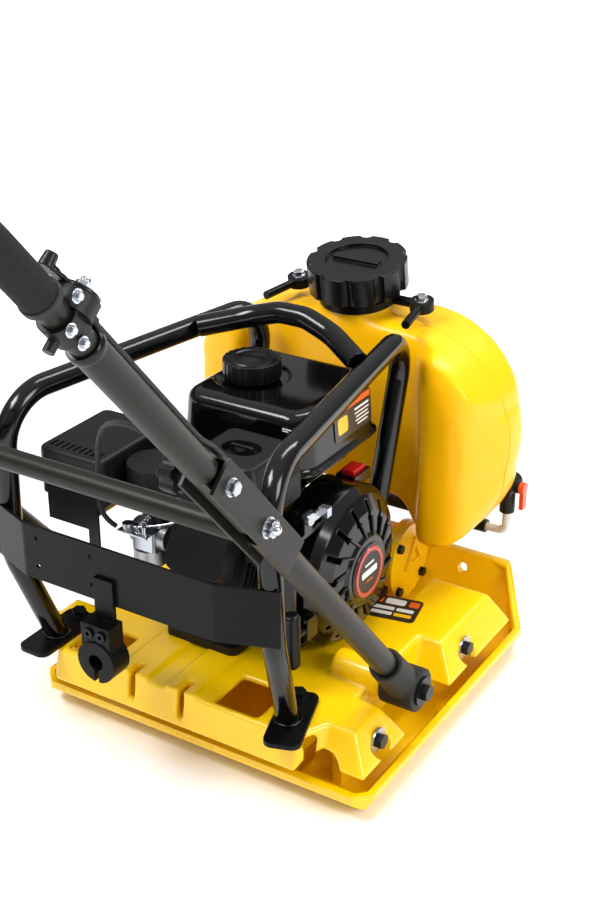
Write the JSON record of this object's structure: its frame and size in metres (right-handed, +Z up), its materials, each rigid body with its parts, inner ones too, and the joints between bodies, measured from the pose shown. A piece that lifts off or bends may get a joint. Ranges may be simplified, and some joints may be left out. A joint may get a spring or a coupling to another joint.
{
  "type": "plate compactor",
  "caption": "Walk-behind vibrating plate compactor with petrol engine, roll cage, folding U handle and water tank.",
  "frame": {"origin": "on the ground under the middle of the base plate", "axes": "+X forward in the travel direction, +Y left, +Z up"},
  "size_m": [1.1332, 0.5628, 0.9333],
  "materials": {
    "yellow_paint": "gloss powder coat",
    "yellow_plastic": "blow-moulded polyethylene",
    "black_paint": "gloss powder coat",
    "graphite_paint": "satin powder coat",
    "black_plastic": "moulded, fine texture",
    "black_oxide": "black oxide",
    "aluminium": "die cast",
    "zinc": "bright zinc plate",
    "steel": "machined",
    "cast_iron": "as cast",
    "rubber": "moulded",
    "clear_hose": "translucent vinyl",
    "red_plastic": "moulded",
    "orange_plastic": "moulded"
  },
  "bodies": {
    "machine": {"air_cleaner_base": "black_plastic", "air_cleaner_cover": "black_plastic", "axle_clamp": "black_paint", "base_plate": "yellow_paint", "belt_guard": "yellow_paint", "blower_housing": "black_paint", "cage_bolts": "black_oxide", "cage_cross_tube": "black_paint", "cage_feet": "black_paint", "cage_left_loop": "black_paint", "cage_right_loop": "black_paint", "carburettor": "aluminium", "cylinder_head": "aluminium", "deck": "yellow_paint", "drive_belt": "rubber", "engine_block": "black_oxide", "exciter_bearings": "steel", "exciter_covers": "yellow_paint", "exciter_housing": "yellow_paint", "fuel_tank": "black_paint", "m8_bolts": "black_oxide", "mount_bolts": "black_oxide", "mount_washers": "zinc", "muffler": "steel", "muffler_cover": "black_plastic", "pivot_bolts": "black_oxide", "rear_panel": "black_paint", "recoil_cover": "black_paint", "rubber_mounts": "rubber", "spark_plug": "black_plastic", "spray_tube": "black_plastic", "tank_bracket": "black_paint", "throttle_plate": "zinc", "water_hose": "clear_hose", "water_tank": "yellow_plastic", "water_valve": "black_plastic"},
    "crank": {"crankshaft": "steel", "flywheel": "cast_iron", "clutch_drum": "steel"},
    "exciter": {"exciter_shaft": "cast_iron", "exciter_pulley": "cast_iron"},
    "lower_handle": {"lower_handle": "graphite_paint", "handle_buffers": "rubber", "fold_brackets": "graphite_paint", "hinge_bolts": "zinc", "throttle_cable_loop": "rubber"},
    "upper_handle": {"upper_handle": "graphite_paint", "foam_grip": "rubber", "throttle_clamp": "black_plastic", "throttle_cable_upper": "rubber"},
    "star_knob_right": {"star_knob_right": "black_plastic"},
    "star_knob_left": {"star_knob_left": "black_plastic"},
    "throttle_lever": {"throttle_lever": "black_plastic"},
    "fuel_cap": {"fuel_cap": "black_plastic"},
    "water_cap": {"water_cap": "black_plastic"},
    "air_cleaner_knob": {"air_cleaner_knob": "black_plastic"},
    "choke_lever": {"choke_lever": "zinc"},
    "engine_switch": {"engine_switch": "red_plastic"},
    "recoil_grip": {"recoil_grip": "black_plastic"},
    "valve_lever": {"valve_lever": "orange_plastic"}
  },
  "joints": [
    {"name": "crank_spin", "type": "hinge", "parent": "machine", "child": "crank", "pos_m": [-0.054, 0.02, 0.216], "axis": [0, 1, 0], "continuous": true},
    {"name": "exciter_spin", "type": "hinge", "parent": "machine", "child": "exciter", "pos_m": [0.183, 0.02, 0.097], "axis": [0, 1, 0], "continuous": true},
    {"name": "handle_tilt", "type": "hinge", "parent": "machine", "child": "lower_handle", "pos_m": [-0.118, 0.025, 0.113], "axis": [0, 1, 0], "range_deg": [-10, 60], "deforming": ["throttle_cable_loop"]},
    {"name": "handle_fold", "type": "hinge", "parent": "lower_handle", "child": "upper_handle", "pos_m": [-0.45128, 0.025, 0.49639], "axis": [0, -1, 0], "range_deg": [0, 100], "deforming": ["throttle_cable_loop"]},
    {"name": "star_knob_right_turn", "type": "hinge", "parent": "lower_handle", "child": "star_knob_right", "pos_m": [-0.51164, -0.19, 0.56583], "axis": [0, -1, 0], "range_deg": [0, 360]},
    {"name": "star_knob_left_turn", "type": "hinge", "parent": "lower_handle", "child": "star_knob_left", "pos_m": [-0.51164, 0.24, 0.56583], "axis": [0, 1, 0], "range_deg": [0, 360]},
    {"name": "throttle_turn", "type": "hinge", "parent": "upper_handle", "child": "throttle_lever", "pos_m": [-0.67692, -0.222, 0.79315], "axis": [0.7547, 0, 0.6561], "range_deg": [0, 70]},
    {"name": "fuel_cap_turn", "type": "hinge", "parent": "machine", "child": "fuel_cap", "pos_m": [-0.019, 0.065, 0.442], "axis": [0, 0, 1], "range_deg": [0, 90]},
    {"name": "water_cap_turn", "type": "hinge", "parent": "machine", "child": "water_cap", "pos_m": [0.2155, 0.044, 0.50691], "axis": [-0.1736, 0, 0.9848], "range_deg": [0, 360]},
    {"name": "air_knob_turn", "type": "hinge", "parent": "machine", "child": "air_cleaner_knob", "pos_m": [-0.175, -0.023, 0.408], "axis": [0, 0, 1], "range_deg": [0, 360]},
    {"name": "choke_turn", "type": "hinge", "parent": "machine", "child": "choke_lever", "pos_m": [-0.148, -0.102, 0.326], "axis": [0, 1, 0], "range_deg": [-20, 25]},
    {"name": "switch_rock", "type": "hinge", "parent": "machine", "child": "engine_switch", "pos_m": [0.006, -0.073, 0.316], "axis": [1, 0, 0], "range_deg": [0, 8]},
    {"name": "recoil_pull", "type": "slide", "parent": "machine", "child": "recoil_grip", "axis": [-1, 0, 0], "range_m": [0, 0.45], "stiffness_N_per_m": 40, "springref_m": -0.05},
    {"name": "valve_turn", "type": "hinge", "parent": "machine", "child": "valve_lever", "pos_m": [0.276, -0.198, 0.208], "axis": [0, -1, 0], "range_deg": [0, 90]}
  ],
  "couplings": [
    {"joint": "exciter_spin", "follows": "crank_spin", "ratio": 0.89474}
  ]
}
